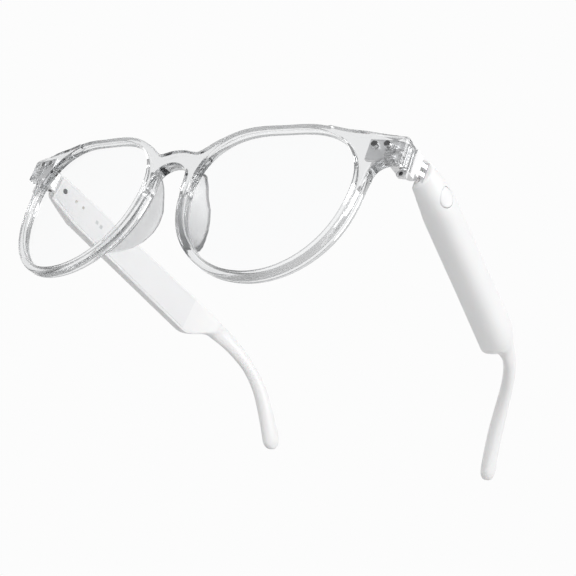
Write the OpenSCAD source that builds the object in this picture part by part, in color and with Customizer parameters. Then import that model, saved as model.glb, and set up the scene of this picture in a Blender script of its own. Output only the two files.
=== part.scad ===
// Audio smart glasses: a clear front with two lenses and clip-in nose pads, metal barrel hinges,
// and two self-contained electronic temples.
// Units are millimetres. +X is the wearer's left, +Y runs back along the temples, +Z is up.
// The origin is under the middle of the open glasses, level with their lowest point.
// The front is drawn in a frame of its own, with its origin on the front of the bridge, level with
// the middle of the lenses. The left temple is drawn in another, with its origin on the hinge axis,
// +Y along the temple and +X outwards. The right side mirrors the left.

/* [Lenses] */
// Half the width of the plain oval that the lens opening starts from
lens_half_w = 24.1; // [22:0.1:26]
// Half the height of that oval
lens_half_h = 21.4; // [19:0.1:23]
// How square the oval is, where 2 is an ellipse
lens_squareness = 2.27; // [2:0.05:3]
// How far the top corners spread and the sides draw in below them
lens_taper = 1.1; // [0:0.1:2]
// How far the lower nose side is cut away
lens_lean = 0.3; // [0:0.1:1]
// Distance between the two lens centres
lens_pitch = 67.2; // [62:0.2:72]
// Thickness of each lens
lens_t = 1.8; // [1.2:0.1:2.2]

/* [Front frame] */
// Thickness of the front from its face to its back
front_depth = 3.8; // [3.4:0.1:4.6]
// Radius of the gentle bend across the whole front
front_bend_r = 370; // [250:5:800]
// Mean width of the rim around a lens
rim_w = 2.3; // [2:0.1:3]
// How deep the lens sits in the rim
groove_d = 0.65; // [0.4:0.05:0.8]
// Height of the bridge's top edge in the middle
bridge_top_z = 14.4; // [13:0.1:16]
// Height of the arch over the nose
bridge_arch_z = 9.8; // [8:0.1:11]
// Distance from the middle to the outer side of an end piece
end_x = 68.2; // [67.8:0.1:68.6]
// Height of an end piece's underside
end_bottom_z = 11.7; // [11:0.1:12.2]
// Height of an end piece's top at its outer corner
end_top_z = 19.4; // [19:0.1:19.8]

/* [Hinges] */
// Distance from the middle to a hinge axis
hinge_x = 66.2; // [65.8:0.1:66.6]
// Distance from the front face back to a hinge axis
hinge_y = 15.6; // [15.4:0.1:16]
// Height of the middle of a hinge
hinge_z = 16; // [15.8:0.1:16.2]
// Radius of the hinge barrel
barrel_r = 1.7; // [1.5:0.05:1.75]
// Number of knuckles in the barrel
knuckles = 5; // [3:2:5]
// Diameter of the hinge pin
pin_d = 1.2; // [1:0.1:1.4]

/* [Temples] */
// How far an open temple turns in from straight back, in degrees
temple_yaw = 6; // [3:0.5:8]
// How far a temple slopes down towards the ear, in degrees
temple_pitch = 5.3; // [3:0.1:7]
// Length of the electronics housing behind the hinge
housing_len = 72; // [68:1:76]
// Height of the housing's flat inner side at the hinge
housing_front_h = 9.3; // [9:0.1:10]
// Height of the housing at its back end
housing_back_h = 13.6; // [13:0.1:14.4]
// Thickness of the housing's moulded walls
wall = 1.1; // [0.9:0.1:1.2]
// Radius of the bend over the ear
ear_bend_r = 36; // [30:1:45]
// How far the bend turns down, in degrees
ear_bend_angle = 49; // [40:1:55]
// Length of the straight end of the ear piece
ear_end_len = 15; // [12:1:18]

/* [Button] */
// Diameter of the round button
button_d = 5.4; // [4.5:0.1:6]
// Travel of the button
button_travel = 0.4; // [0.2:0.05:0.5]

/* [Hidden] */

clear_plastic = [0.86, 0.88, 0.89, 0.45];
clear_lens = [0.93, 0.96, 0.97, 0.25];
silver = [0.78, 0.79, 0.80];
steel = [0.55, 0.56, 0.58];
white = [0.95, 0.95, 0.95];
board_green = [0.10, 0.32, 0.22];
cell_grey = [0.62, 0.64, 0.66];
black = [0.10, 0.10, 0.11];
gold = [0.83, 0.66, 0.30];

fit_gap = 0.05;         // clearance between pieces that are pressed or glued together
running_gap = 0.10;     // clearance between pieces that move
outline_step = 5;       // degrees between points of a lens outline
far = 200;              // longer than anything in the model

// ---- Outline of a lens and its rim, seen from the front, with its own centre as origin ----

function oval_reach(a) =
    pow(
        pow(abs(cos(a)) / lens_half_w, lens_squareness)
        + pow(abs(sin(a)) / lens_half_h, lens_squareness),
        -1 / lens_squareness
    );
function lens_reach(a) = oval_reach(a) + lens_taper * sin(3 * a) - lens_lean * cos(3 * a);
function lens_point(a) = lens_reach(a) * [cos(a), sin(a)];
function edge_normal(a) =
    let (along = lens_point(a + 1) - lens_point(a - 1))
    [along[1], -along[0]] / norm(along);

// The rim is thinner along the top and wider at the sides.
rim_top_thinner = 0.25;
rim_side_wider = 0.45;
function rim_width(a) = rim_w - rim_top_thinner * sin(a) + rim_side_wider * cos(2 * a);
function rim_point(a, inset) = lens_point(a) + edge_normal(a) * (rim_width(a) - inset);

function lens_outline(grow) = [
    for (a = [0 : outline_step : 359]) lens_point(a) + edge_normal(a) * grow
];
function rim_outline() = [for (a = [0 : outline_step : 359]) rim_point(a, 0)];

// Points of an arc, from angle a0 to a1.
function arc(centre, r, a0, a1, n) = [
    for (i = [0 : n]) centre + r * [cos(a0 + (a1 - a0) * i / n), sin(a0 + (a1 - a0) * i / n)]
];

// ---- Placing ----

// How far back the bent front face is, at a distance x from the middle.
function front_y(x) = x * x / 2 / front_bend_r;

// Puts what is drawn in the front's frame over the origin.
module placed() {
    translate([0, -length / 2, -lowest_z]) children();
}

module flipped(side) {
    mirror([side < 0 ? 1 : 0, 0, 0]) children();
}

module mirrored(side) {
    placed() flipped(side) children();
}

// Stands a drawing in XY up in XZ and gives it depth along Y, from y0 to y1.
module stand(y0, y1) {
    translate([0, y1, 0]) rotate([90, 0, 0]) linear_extrude(y1 - y0) children();
}

// Turns a drawing of (y, z) points into a plate from x0 to x1.
module side_plate(x0, x1) {
    translate([x0, 0, 0]) rotate([90, 0, 90]) linear_extrude(x1 - x0) children();
}

// The layer of the bent front between two depths behind its face.
module bent_layer(depth0, depth1) {
    difference() {
        translate([0, front_bend_r + depth0, -far / 2]) cylinder(r = front_bend_r, h = far, $fn = 720);
        translate([0, front_bend_r + depth1, -far]) cylinder(r = front_bend_r, h = 2 * far, $fn = 720);
    }
}

module temple_frame(side) {
    mirrored(side)
        translate([hinge_x, hinge_y, hinge_z])
            rotate([0, 0, temple_yaw])
                rotate([-temple_pitch, 0, 0])
                    children();
}

module cylinder_x(x0, x1, y, z, r) {
    translate([x0, y, z]) rotate([0, 90, 0]) cylinder(r = r, h = x1 - x0, $fn = 48);
}

module cylinder_y(x, y0, y1, z, r) {
    translate([x, y0, z]) rotate([-90, 0, 0]) cylinder(r = r, h = y1 - y0, $fn = 48);
}

module box(low, high) {
    translate(low) cube(high - low);
}

// ---- Front frame, lenses and nose pads ----

lens_gap = 1.0;                         // from the front face back to the lens
end_fillet = 4.6;                       // radius under an end piece, where it meets the rim
end_bevel_down = 1.9;                   // bevel along the top edge of an end piece
end_bevel_back = 1.1;
end_corner_r = 0.9;                     // rounding of its outer top corner
end_side_r = 2.2;                       // rounding between its front and its side
end_back_y = 12;                        // how far back the side of an end piece wraps
lip_t = 2.1;                            // thickness of that side
end_shoulder = [46.2, 21.6];            // where the end piece's top leaves the rim
end_start_x = 52.2;                     // from here its top runs straight
end_start_z = 20.75;
end_slope = atan2(end_start_z - end_top_z, end_x - end_start_x);

module end_piece_outline() {
    polygon(concat(
        [[lens_pitch / 2 + 14, 10], [lens_pitch / 2 + 14, 18], end_shoulder, [end_start_x, end_start_z]],
        arc([end_x - end_corner_r, end_top_z - end_corner_r], end_corner_r, 90 - end_slope, 0, 4),
        [[end_x, end_bottom_z]],
        arc([end_x - 2.6, end_bottom_z - end_fillet], end_fillet, 90, 180, 8),
        [[59, 0], [56, 4]]
    ));
}

module bridge_outline() {
    polygon(concat(
        [[-14, 10], [-12, bridge_top_z + 1]],
        [for (x = [-9 : 3 : 9]) [x, bridge_top_z - 0.45 + 0.45 * cos(x * 180 / 7.2)]],
        [[12, bridge_top_z + 1], [14, 10], [9.5, 3.5]],
        [for (a = [0 : 15 : 180]) [6.7 * cos(a), 3.5 + (bridge_arch_z - 3.5) * sin(a)]],
        [[-9.5, 3.5]]
    ));
}

module front_outline() {
    bridge_outline();
    for (side = [-1, 1]) mirror([side < 0 ? 1 : 0, 0]) {
        translate([lens_pitch / 2, 0]) polygon(rim_outline());
        end_piece_outline();
    }
}

// The side of an end piece wraps back around the hinge plate.
module end_lip() {
    box([end_x - lip_t, 8, end_bottom_z + 0.3], [end_x, end_back_y, end_top_z - 0.3]);
}

module end_bevel_cut() {
    bend_slope = 9;                     // degrees that the bent front has turned at the end piece
    translate([end_start_x, front_y(end_start_x), end_start_z])
        rotate([0, end_slope, bend_slope])
            side_plate(0, 30) polygon([
                [-3, 3], [-3, -end_bevel_down], [0, -end_bevel_down], [end_bevel_back, 0], [end_bevel_back, 3]
            ]);
}

module end_side_cut() {
    r = end_side_r;
    translate([end_x - r, front_y(end_x - r) + r, 0]) difference() {
        translate([0, -3 * r, 0]) cube([3 * r, 3 * r, 30]);
        translate([0, 0, -1]) cylinder(r = r, h = 40, $fn = 48);
    }
}

pad_peg_r = 0.5;
pad_peg_angles = [172, 208];            // where the pegs sit around the rim
function peg_place(a) =
    let (p = rim_point(a, 1.25))
    [p[0] + lens_pitch / 2, front_y(p[0] + lens_pitch / 2) + front_depth, p[1]];

module pad_pegs(r, depth) {
    for (a = pad_peg_angles)
        let (p = peg_place(a))
        cylinder_y(p[0], p[1] - depth, p[1] + 1, p[2], r);
}

screw_xs = [59.3, 63.0];                // the two screws that hold the hinge plate
screw_z = 17.1;
screw_tip_y = 6.9;
screw_head_t = 0.6;
plate_t = 1.2;                          // thickness of the hinge plate
function screw_head_y(x) = front_y(x) + front_depth + plate_t - 0.2;
module front_screw_shafts(r) {
    for (x = screw_xs) cylinder_y(x, screw_tip_y, 11, screw_z, r);
}
module front_screw_heads(r, depth) {
    for (x = screw_xs) cylinder_y(x, screw_head_y(x), screw_head_y(x) + depth, screw_z, r);
}

module front_frame() {
    color(clear_plastic) placed() difference() {
        union() {
            intersection() {
                stand(-1, 16) front_outline();
                bent_layer(0, front_depth);
            }
            for (side = [-1, 1]) flipped(side) end_lip();
        }
        for (side = [-1, 1]) flipped(side) {
            translate([lens_pitch / 2, 0, 0]) stand(-2, 16) polygon(lens_outline(0));
            intersection() {
                translate([lens_pitch / 2, 0, 0]) stand(-2, 16) polygon(lens_outline(groove_d));
                bent_layer(lens_gap - fit_gap, lens_gap + lens_t + fit_gap);
            }
            end_bevel_cut();
            end_side_cut();
            front_screw_shafts(screw_r + fit_gap / 2);
            pad_pegs(pad_peg_r + fit_gap / 2, 0.8);
        }
    }
}

module lens(side) {
    color(clear_lens) mirrored(side) intersection() {
        translate([lens_pitch / 2, 0, 0]) stand(-2, 16) polygon(lens_outline(groove_d - fit_gap));
        bent_layer(lens_gap, lens_gap + lens_t);
    }
}

// A nose pad is a fin that follows the nose side of the rim and reaches back from it.
pad_t = 2.1;                            // thickness of the fin
pad_back_y = 12;                        // furthest point back
pad_splay = 12;                         // degrees that the fin turns away from the nose
pad_pivot = [8, 4, 0];

module pad_band() {
    translate([lens_pitch / 2, 0])
        polygon(concat(
            [for (a = [148 : 5 : 223]) rim_point(a, 0.1)],
            [for (a = [223 : -5 : 148]) rim_point(a, 0.1 + pad_t)]
        ));
}

module pad_profile() {
    polygon([
        [2, 9], [5.6, 8.6], [7.6, 6.6], [9.3, 3.8], [11.2, 1.2], [pad_back_y, -2.2],
        [11.9, -5.4], [10.9, -8.8], [9.2, -11.9], [7, -14.4], [4.6, -16.2], [2, -16.6]
    ]);
}

module nose_pad(side) {
    color(clear_plastic) mirrored(side) {
        difference() {
            intersection() {
                translate(pad_pivot) rotate([0, 0, -pad_splay]) translate(-pad_pivot)
                    stand(0, 16) pad_band();
                side_plate(0, 30) pad_profile();
            }
            bent_layer(-6, front_depth + fit_gap / 2);
        }
        pad_pegs(pad_peg_r, 0.7);
    }
}

// ---- Hinges ----

knuckle_h = 1.24;
barrel_bottom_z = hinge_z - knuckles * knuckle_h / 2;
leaf_low_z = 12.8;                      // lower and upper edges of the metal plate
leaf_high_z = 18.9;
screw_r = 0.9;
screw_head_r = 1.25;
leaf_back_y = hinge_y - barrel_r;
foot_z0 = 9.6;                          // the foot hangs below the end piece
foot_z1 = 11.5;
foot_t = 0.9;
strap_z0 = 11.2;                        // a thin strap under the end piece carries the foot
strap_z1 = 11.6;
foot_screw_r = 0.55;

module barrel_part(i, r) {
    gap = 0.04;                         // half of the slit between two knuckles
    translate([hinge_x, hinge_y, barrel_bottom_z + i * knuckle_h + gap])
        cylinder(r = r, h = knuckle_h - 2 * gap, $fn = 48);
}

module pin_hole(r) {
    translate([hinge_x, hinge_y, barrel_bottom_z - 1]) cylinder(r = r, h = 20, $fn = 48);
}

module front_leaf(side) {
    block_x0 = 63.2;
    inner_x1 = end_x - lip_t - fit_gap;
    cheek_x0 = hinge_x + barrel_r + running_gap + fit_gap;
    cheek_x1 = end_x + 0.4;
    behind_y = end_back_y + fit_gap;
    foot_r = (foot_z1 - foot_z0) / 2;
    color(silver) mirrored(side) difference() {
        union() {
            intersection() {
                box([57.4, 0, leaf_low_z], [inner_x1, 20, leaf_high_z]);
                bent_layer(front_depth + fit_gap, front_depth + plate_t);
            }
            translate([0, 0, leaf_low_z]) linear_extrude(leaf_high_z - leaf_low_z) polygon([
                [block_x0, 10.2], [inner_x1, 10.4], [inner_x1, behind_y], [cheek_x1, behind_y],
                [cheek_x1, hinge_y], [cheek_x0, hinge_y], [cheek_x0, leaf_back_y], [block_x0, leaf_back_y]
            ]);
            box([65.6, behind_y, strap_z0], [cheek_x1, leaf_back_y, leaf_low_z + 0.5]);
            box([66.6, foot_screw[1], strap_z0], [cheek_x1, behind_y + 0.5, strap_z1]);
            box([66.6, foot_screw[1], foot_z0], [cheek_x1, foot_screw[1] + foot_t, foot_z1]);
            cylinder_y(66.6, foot_screw[1], foot_screw[1] + foot_t, foot_z0 + foot_r, foot_r);
            for (i = [0 : 2 : knuckles - 1]) intersection() {
                union() {
                    barrel_part(i, barrel_r);
                    translate([0, 0, barrel_bottom_z + i * knuckle_h + 0.04])
                        linear_extrude(knuckle_h - 0.08) polygon([
                            [hinge_x - barrel_r, hinge_y], [hinge_x - barrel_r, leaf_back_y - 0.5],
                            [hinge_x + 1, leaf_back_y - 0.5], [hinge_x + 1, hinge_y]
                        ]);
                }
                box([60, 0, 0], [80, 30, 30]);
            }
        }
        pin_hole(pin_d / 2);
        front_screw_shafts(screw_r + fit_gap / 2);
        front_screw_heads(screw_head_r + fit_gap, 5);
        cylinder_y(foot_screw[0], foot_screw[1] - 1, foot_screw[1] + 1, foot_screw[2], foot_screw_r + fit_gap / 2);
    }
}

foot_screw = [67.0, 10.4, (foot_z0 + foot_z1) / 2];

// Two screws go forward through the hinge plate into the clear front, and a short one
// closes the foot below it.
module front_screws(side) {
    color(steel) mirrored(side) {
        for (x = screw_xs) cylinder_y(x, screw_tip_y + fit_gap, screw_head_y(x) + 0.1, screw_z, screw_r);
        translate([0, fit_gap, 0]) front_screw_heads(screw_head_r, screw_head_t);
        cylinder_y(foot_screw[0], foot_screw[1] - 0.1, foot_screw[1] + foot_t, foot_screw[2], foot_screw_r);
    }
}

module hinge_pin(side) {
    head_h = 0.5;
    length = knuckles * knuckle_h;
    color(steel) mirrored(side) translate([hinge_x, hinge_y, barrel_bottom_z]) {
        translate([0, 0, -0.1]) cylinder(r = pin_d / 2 - 0.02, h = length + 0.1, $fn = 48);
        translate([0, 0, length]) cylinder(r = pin_d / 2 + 0.45, h = head_h, $fn = 48);
    }
}

// The moving leaf: two knuckles, a web from each, and an arm inside the temple.
arm_x0 = 1.7;
arm_x1 = 2.9;
arm_z = 3.0;
arm_back_y = 7.4;
leaf_screw_y = 5.3;
leaf_screw_z = 0.7;
module temple_leaf(side) {
    color(silver) {
        mirrored(side) difference() {
            for (i = [1 : 2 : knuckles - 1]) {
                barrel_part(i, barrel_r);
                translate([0, 0, barrel_bottom_z + i * knuckle_h + 0.04])
                    linear_extrude(knuckle_h - 0.08)
                        translate([hinge_x, hinge_y]) rotate(temple_yaw)
                            polygon([
                                [0, 0], [barrel_r, 0], [arm_x1, 1.8], [arm_x1, 2.6],
                                [arm_x0, 2.6], [arm_x0, 1.8], [0, 0.9]
                            ]);
            }
            pin_hole(pin_d / 2 + 0.02);
        }
        temple_frame(side) difference() {
            box([arm_x0, housing_y0 + 0.15, -arm_z], [arm_x1, arm_back_y, arm_z]);
            cylinder_x(0, 5, leaf_screw_y, leaf_screw_z, 0.5);
        }
    }
}

module leaf_screw(side) {
    color(steel) temple_frame(side) {
        cylinder_x(inner_x + 0.1, inner_x + 0.6, leaf_screw_y, leaf_screw_z, 0.85);
        cylinder_x(inner_x + 0.6, arm_x1, leaf_screw_y, leaf_screw_z, 0.5 - 0.01);
    }
}

// ---- Temples ----

inner_x = 0.3;                          // plane of the flat inner side
top_z = 4.8;                            // the temple's straight top line
housing_y0 = 2.1;                       // front end, just clear of the barrel
housing_y1 = housing_y0 + housing_len;
nose_y = 14;                            // where the rounded front shoulder ends
nose_r = 5.6;
cover_t = 1.0;
ear_y0 = 85;                            // where the slim ear piece starts, inside the tail
tail_y = 89;                            // where the tail of the housing ends, inside the ear piece

// Stations along the housing: [distance, radius of the round outer side, its centre from the inner side]
stations = [
    [housing_y0, housing_front_h / 2, -0.1],
    [nose_y, nose_r, 1.2],
    [housing_y1, housing_back_h / 2, 0.6]
];

module housing_disc(s, shrink) {
    translate([inner_x + s[2], s[0], top_z - s[1]])
        rotate([-90, 0, 0]) cylinder(r = s[1] - shrink, h = 0.02, $fn = 64);
}

module housing_solid(shrink) {
    hull() for (s = stations) housing_disc(s, shrink);
}

// The housing, and the tail behind it that narrows quickly to the ear piece.
module housing_and_tail() {
    hull() {
        for (s = stations) housing_disc(s, 0);
        box([0.5, tail_y, ear_centre_z - 3.1], [3.3, tail_y + 0.02, ear_centre_z + 3.2]);
    }
}

// The ear piece is where a side view and a top view of it cross.
ear_centre_z = top_z - 3.6;
ear_arc_y = 91;
ear_arc_len = ear_bend_r * ear_bend_angle * PI / 180;
ear_straight = ear_arc_y - ear_y0;
ear_len = ear_straight + ear_arc_len + ear_end_len;

// A point of the side view's centre line, and its direction, at distance t from the start.
function ear_angle(t) = max(0, min(ear_bend_angle, (t - ear_straight) / ear_bend_r * 180 / PI));
function ear_centre(t) =
    t < ear_straight
        ? [ear_y0 + t, ear_centre_z]
        : let (
            a = ear_angle(t),
            rest = max(0, t - ear_straight - ear_arc_len)
        )
        [
            ear_arc_y + ear_bend_r * sin(a) + rest * cos(a),
            ear_centre_z - ear_bend_r * (1 - cos(a)) - rest * sin(a)
        ];
// Half the height of the ear piece: slim at the bend and wider at its tip.
function ear_half_h(t) = lookup(t, [[0, 3.1], [4, 3.55], [24, 2.6], [40, 3.2], [ear_len, 3.9]]);
// Middle of the ear piece in the top view: it swings in towards the head.
function ear_middle_x(y) =
    let (w = max(0, min(1, (y - 88) / 46)))
    1.9 - 10.8 * (3 * w * w - 2 * w * w * w);
function ear_half_t(y) = lookup(y, [[ear_y0, 1.5], [ear_y0 + 4, 1.75], [105, 2.0], [120, 2.3], [130, 2.3]]);

// Side and top views of the ear piece, or of a strip inside it when its own half size is given.
module ear_side_view(t0, t1, half_h) {
    ts = [for (i = [0 : 16]) t0 + (t1 - t0) * i / 16];
    function half_at(t) = half_h > 0 ? half_h : ear_half_h(t);
    function across(t, s) = ear_centre(t) + s * half_at(t) * [sin(ear_angle(t)), cos(ear_angle(t))];
    polygon(concat([for (t = ts) across(t, 1)], [for (i = [16 : -1 : 0]) across(ts[i], -1)]));
}

module ear_top_view(y0, y1, half_t) {
    ys = [for (i = [0 : 16]) y0 + (y1 - y0) * i / 16];
    function half_at(y) = half_t > 0 ? half_t : ear_half_t(y);
    polygon(concat(
        [for (y = ys) [ear_middle_x(y) + half_at(y), y]],
        [for (i = [16 : -1 : 0]) [ear_middle_x(ys[i]) - half_at(ys[i]), ys[i]]]
    ));
}

module ear_solid() {
    intersection() {
        side_plate(-20, 20) {
            ear_side_view(0, ear_len, 0);
            translate(ear_tip) circle(r = ear_tip_r, $fn = 48);
        }
        translate([0, 0, -60]) linear_extrude(80) ear_top_view(ear_y0, ear_tip[0] + 5, 0);
    }
}

module ear_strip(half_h, half_t, t0, t1) {
    intersection() {
        side_plate(-20, 20) ear_side_view(t0, t1, half_h);
        translate([0, 0, -60]) linear_extrude(80) ear_top_view(ear_y0 - 1, 135, half_t);
    }
}

// The tip of an ear piece, in the front's frame, sets the length.
ear_tip = ear_centre(ear_len);
ear_tip_r = ear_half_h(ear_len);
ear_tip_x = ear_middle_x(ear_tip[0]) + ear_half_t(ear_tip[0]);
ear_tip_back = ear_tip[0] * cos(temple_pitch) + ear_tip[1] * sin(temple_pitch) + ear_tip_r;
length = hinge_y + ear_tip_x * sin(temple_yaw) + ear_tip_back * cos(temple_yaw);
ear_tip_low = hinge_z - ear_tip[0] * sin(temple_pitch) + ear_tip[1] * cos(temple_pitch) - ear_tip_r;
lowest_z = min(ear_tip_low, -lens_reach(270) - rim_width(270));

cavity_y0 = housing_y0 + 1.15;
cavity_y1 = housing_y1 - 1.1;
cover_edge = 0.9;                       // width of the shell's edge around the cover

// Lower edge of the housing's flat inner side.
function low_edge(i) =
    top_z - stations[i][1] - sqrt(pow(stations[i][1], 2) - pow(stations[i][2], 2));

module cover_outline(grow) {
    polygon([
        [cavity_y0 - grow, top_z - 0.1 - cover_edge + grow],
        [cavity_y1 + grow, top_z - 0.1 - cover_edge + grow],
        [cavity_y1 + grow, low_edge(2) + cover_edge - grow],
        [nose_y, low_edge(1) + cover_edge - grow],
        [cavity_y0 - grow, low_edge(0) + cover_edge + 0.4 - grow]
    ]);
}

button_y = 10.6;
button_z = -0.9;
mic_y = 15.2;
mic_x = 1.9;
outlet_low = [2.4, cavity_y1 - 1, -6.6];
outlet_high = [4.8, housing_y1 + 9, -5.2];

module temple_shell(side) {
    color(white) temple_frame(side) difference() {
        union() {
            intersection() {
                housing_and_tail();
                box([inner_x, 0, -20], [20, 100, 20]);
            }
            ear_solid();
        }
        intersection() {
            housing_solid(wall);
            box([inner_x + cover_t, cavity_y0, -20], [20, cavity_y1, 20]);
        }
        side_plate(-1, inner_x + cover_t) cover_outline(fit_gap);
        box([arm_x0 - 0.1, 0, -arm_z - 0.1], [arm_x1 + 0.1, arm_back_y + 0.2, arm_z + 0.1]);
        cylinder_x(cap_x0 - button_travel - running_gap, 10, button_y, button_z, button_d / 2 + running_gap);
        translate([mic_x, mic_y, -10]) cylinder(r = 0.25, h = 6, $fn = 24);
        box(outlet_low, outlet_high);
        ear_strip(0.9 + fit_gap, 0.5 + fit_gap, 0, ear_len - 8);
    }
}

contact_ys = [10.6, 14.0];
contact_z = 0.65;
window_places = [[21.2, 0.1], [23.4, -0.2]];
window_half = 0.6;
post_places = [[18.4, -3.2], [33, 1.6], [33, -4.2]];

module inner_cover(side) {
    color(white) temple_frame(side) difference() {
        union() {
            side_plate(inner_x, inner_x + cover_t - 0.02) cover_outline(0);
            for (p = post_places) cylinder_x(inner_x + 0.5, board_x0, p[0], p[1], 0.7);
        }
        cylinder_x(0, inner_x + 0.6, leaf_screw_y, leaf_screw_z, 0.85 + fit_gap);
        cylinder_x(0, 3, leaf_screw_y, leaf_screw_z, 0.5 + fit_gap);
        for (y = contact_ys) cylinder_x(0, 3, y, contact_z, 0.45 + fit_gap);
        for (p = window_places) side_plate(0, 3) translate(p) square(2 * window_half + fit_gap, center = true);
    }
}

module ear_core(side) {
    color(steel) temple_frame(side) ear_strip(0.9, 0.5, 0.05, ear_len - 8.1);
}

// ---- Electronics inside each temple ----

board_x0 = 2.05;
board_x1 = 2.75;

cap_x0 = 2.6;                           // inner edge of the button's rim
module button(side) {
    color(white) temple_frame(side) {
        intersection() {
            cylinder_x(0, 10, button_y, button_z, button_d / 2);
            difference() {
                housing_solid(-0.12);
                housing_solid(wall - 0.1);
            }
            box([cap_x0, 0, -20], [20, 30, 20]);
        }
        cylinder_x(board_x1 + switch_t + button_travel + 0.05, 6.0, button_y, button_z, 0.8);
    }
}

switch_t = 0.9;
module button_switch(side) {
    color(silver) temple_frame(side) {
        box(
            [board_x1, button_y - 1.5, button_z - 0.9],
            [board_x1 + switch_t - 0.3, button_y + 1.5, button_z + 1.1]
        );
        cylinder_x(board_x1 + switch_t - 0.35, board_x1 + switch_t, button_y, button_z, 0.7);
    }
}

module circuit_board(side) {
    // Chips on the outer face: [y, z, length, height, thickness]
    chips = [[20, -0.8, 5.2, 4.4, 1.0], [27.5, -1.4, 3.4, 3.0, 0.9], [33.5, -0.6, 4.2, 3.6, 1.2], [15, 1.0, 2.4, 1.6, 0.8]];
    color(board_green) temple_frame(side) {
        side_plate(board_x0, board_x1) polygon([
            [8.9, -3.6], [14, -3.8], [38, -4.9], [38, 2.7], [8.9, 2.7]
        ]);
        for (c = chips)
            box([board_x1 - 0.02, c[0] - c[2] / 2, c[1] - c[3] / 2], [board_x1 + c[4], c[0] + c[2] / 2, c[1] + c[3] / 2]);
    }
}

module battery(side) {
    corner = 1.3;
    color(cell_grey) temple_frame(side) {
        translate([0, 39, 0]) rotate([-90, 0, 0]) linear_extrude(19) {
            // Drawn in X and -Z, with rounded long edges.
            for (x = [1.6 + corner, 5.1 - corner]) for (z = [-1.6 + corner, 4.4 - corner])
                translate([x, z]) circle(r = corner, $fn = 32);
            translate([1.6 + corner, -1.6]) square([3.5 - 2 * corner, 6.0]);
            translate([1.6, -1.6 + corner]) square([3.5, 6.0 - 2 * corner]);
        }
        box([2.4, 38.4, -2.6], [4.2, 39, -0.4]);
    }
}

module speaker(side) {
    color(black) temple_frame(side) {
        side_plate(1.6, 4.4) {
            translate([63.2, -2.0]) circle(r = 3.0, $fn = 48);
            translate([67.8, -2.0]) circle(r = 3.0, $fn = 48);
            translate([63.2, -5.0]) square([4.6, 6]);
        }
        side_plate(4.35, 5.2) translate([65.5, -2.0]) circle(r = 1.8, $fn = 48);
    }
}

// A perforated plate across the sound outlet.
module speaker_mesh(side) {
    plate_y = housing_y1 + 0.6;
    color(black) temple_frame(side) difference() {
        box(
            [outlet_low[0] + fit_gap, plate_y, outlet_low[2] + fit_gap],
            [outlet_high[0] - fit_gap, plate_y + 0.3, outlet_high[2] - fit_gap]
        );
        for (i = [0 : 3]) for (k = [0 : 1])
            cylinder_y(outlet_low[0] + 0.42 + i * 0.52, plate_y - 1, plate_y + 1, outlet_low[2] + 0.44 + k * 0.52, 0.16);
    }
}

module microphone(side) {
    color(silver) temple_frame(side)
        box([1.5, mic_y - 1.2, -4.95], [2.9, mic_y + 1.2, -4.2]);
}

module charging_contacts(side) {
    color(gold) temple_frame(side) for (y = contact_ys) {
        cylinder_x(inner_x + 0.05, board_x0, y, contact_z, 0.45);
        cylinder_x(inner_x + cover_t + 0.05, inner_x + cover_t + 0.4, y, contact_z, 0.8);
    }
}

module charging_magnet(side) {
    color(steel) temple_frame(side)
        cylinder_x(inner_x + cover_t + 0.03, board_x0 - 0.02, 17.9, 0.4, 1.5);
}

module sensor_windows(side) {
    color(cell_grey) temple_frame(side) for (p = window_places)
        side_plate(inner_x + 0.03, inner_x + cover_t - 0.03) translate(p) square(2 * window_half, center = true);
}

// ---- Parts list ----

front_frame();
lens(1);  // lens_left
lens(-1);  // lens_right
nose_pad(1);  // nose_pad_left
nose_pad(-1);  // nose_pad_right
front_leaf(1);  // front_leaf_left
front_leaf(-1);  // front_leaf_right
front_screws(1);  // front_screws_left
front_screws(-1);  // front_screws_right
hinge_pin(1);  // hinge_pin_left
hinge_pin(-1);  // hinge_pin_right
temple_leaf(1);  // temple_leaf_left
temple_leaf(-1);  // temple_leaf_right
temple_shell(1);  // temple_shell_left
temple_shell(-1);  // temple_shell_right
inner_cover(1);  // inner_cover_left
inner_cover(-1);  // inner_cover_right
leaf_screw(1);  // leaf_screw_left
leaf_screw(-1);  // leaf_screw_right
ear_core(1);  // ear_core_left
ear_core(-1);  // ear_core_right
button(1);  // button_left
button(-1);  // button_right
button_switch(1);  // button_switch_left
button_switch(-1);  // button_switch_right
circuit_board(1);  // circuit_board_left
circuit_board(-1);  // circuit_board_right
battery(1);  // battery_left
battery(-1);  // battery_right
speaker(1);  // speaker_left
speaker(-1);  // speaker_right
speaker_mesh(1);  // speaker_mesh_left
speaker_mesh(-1);  // speaker_mesh_right
microphone(1);  // microphone_left
microphone(-1);  // microphone_right
charging_contacts(1);  // charging_contacts_left
charging_contacts(-1);  // charging_contacts_right
charging_magnet(1);  // charging_magnet_left
charging_magnet(-1);  // charging_magnet_right
sensor_windows(1);  // sensor_windows_left
sensor_windows(-1);  // sensor_windows_right
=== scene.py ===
"""Looks of the smart glasses: smooth clear front, lenses and pads, metal hinges, white temples.

Shapes are written in millimetres in the front's own frame, as in part.scad, with its origin on the
front of the bridge, level with the middle of the lenses. Temples use their own frame on the hinge.
"""

import math

import bmesh
import bpy
import numpy as np
from mathutils import Matrix, Vector


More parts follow.
